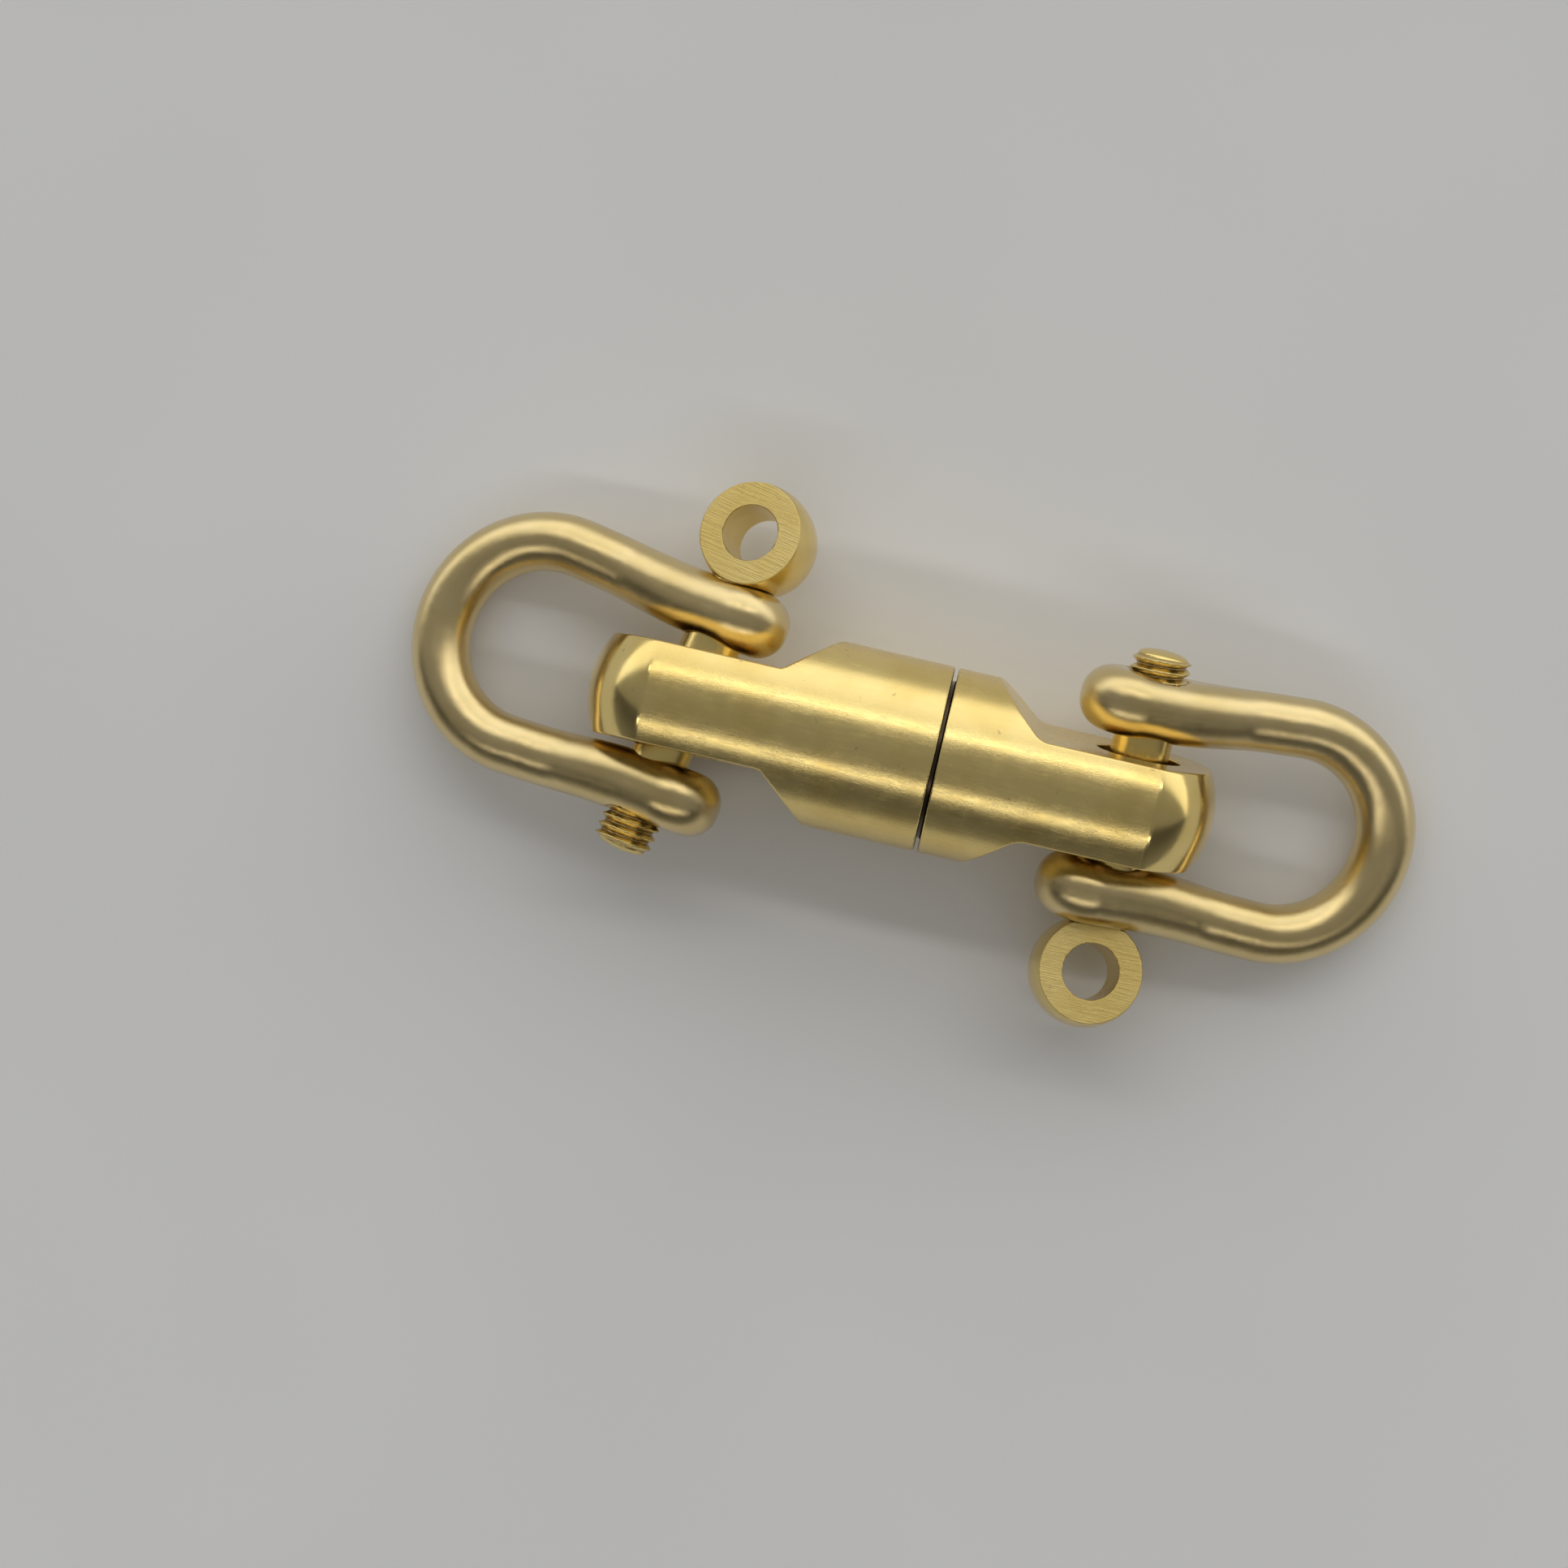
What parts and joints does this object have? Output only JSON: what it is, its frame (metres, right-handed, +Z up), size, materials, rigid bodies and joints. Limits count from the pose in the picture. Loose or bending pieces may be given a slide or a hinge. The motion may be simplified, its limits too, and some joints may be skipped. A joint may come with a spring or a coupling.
{
  "type": "double shackle swivel",
  "caption": "Solid brass swivel: a barrel in two halves that turn on each other, with a bow shackle on an eyed screw pin at each end.",
  "frame": {"origin": "on the surface the part lies on, under the middle of its box", "axes": "+X along the swivel axis from the long half to the short half, +Y towards the left pin's eye, +Z up from the surface it lies on"},
  "size_m": [0.0517, 0.023, 0.0094],
  "materials": {
    "turned_brass": "turned and lightly tarnished",
    "plain_brass": "plain turned",
    "polished_brass": "polished, finely pitted",
    "ground_brass": "ground flat, with fine saw marks"
  },
  "bodies": {
    "long_body": {"long_half": "turned_brass", "retaining_bush": "plain_brass"},
    "short_body": {"short_half": "turned_brass", "swivel_stud": "plain_brass"},
    "left_bow_body": {"left_shackle": "polished_brass"},
    "left_pin_body": {"left_screw_pin": "ground_brass"},
    "right_bow_body": {"right_shackle": "polished_brass"},
    "right_pin_body": {"right_screw_pin": "ground_brass"}
  },
  "joints": [
    {"name": "swivel_turn", "type": "hinge", "parent": "long_body", "child": "short_body", "pos_m": [0, 0.00002, 0.0047], "axis": [1, 0, 0], "continuous": true},
    {"name": "left_bow_swing", "type": "hinge", "parent": "long_body", "child": "left_bow_body", "pos_m": [-0.01133, 0.00007, 0.0047], "axis": [0.1392, 0.9872, -0.0777], "range_deg": [-117, 142]},
    {"name": "right_bow_swing", "type": "hinge", "parent": "short_body", "child": "right_bow_body", "pos_m": [0.01117, 0.00027, 0.00472], "axis": [-0.0087, -0.9969, -0.0785], "range_deg": [-116, 143]},
    {"name": "left_pin_out", "type": "slide", "parent": "left_bow_body", "child": "left_pin_body", "axis": [0.1979, 0.9782, -0.0634], "range_m": [0, 0.0155]},
    {"name": "right_pin_out", "type": "slide", "parent": "right_bow_body", "child": "right_pin_body", "axis": [-0.0087, -0.9969, -0.0785], "range_m": [0, 0.015]}
  ]
}
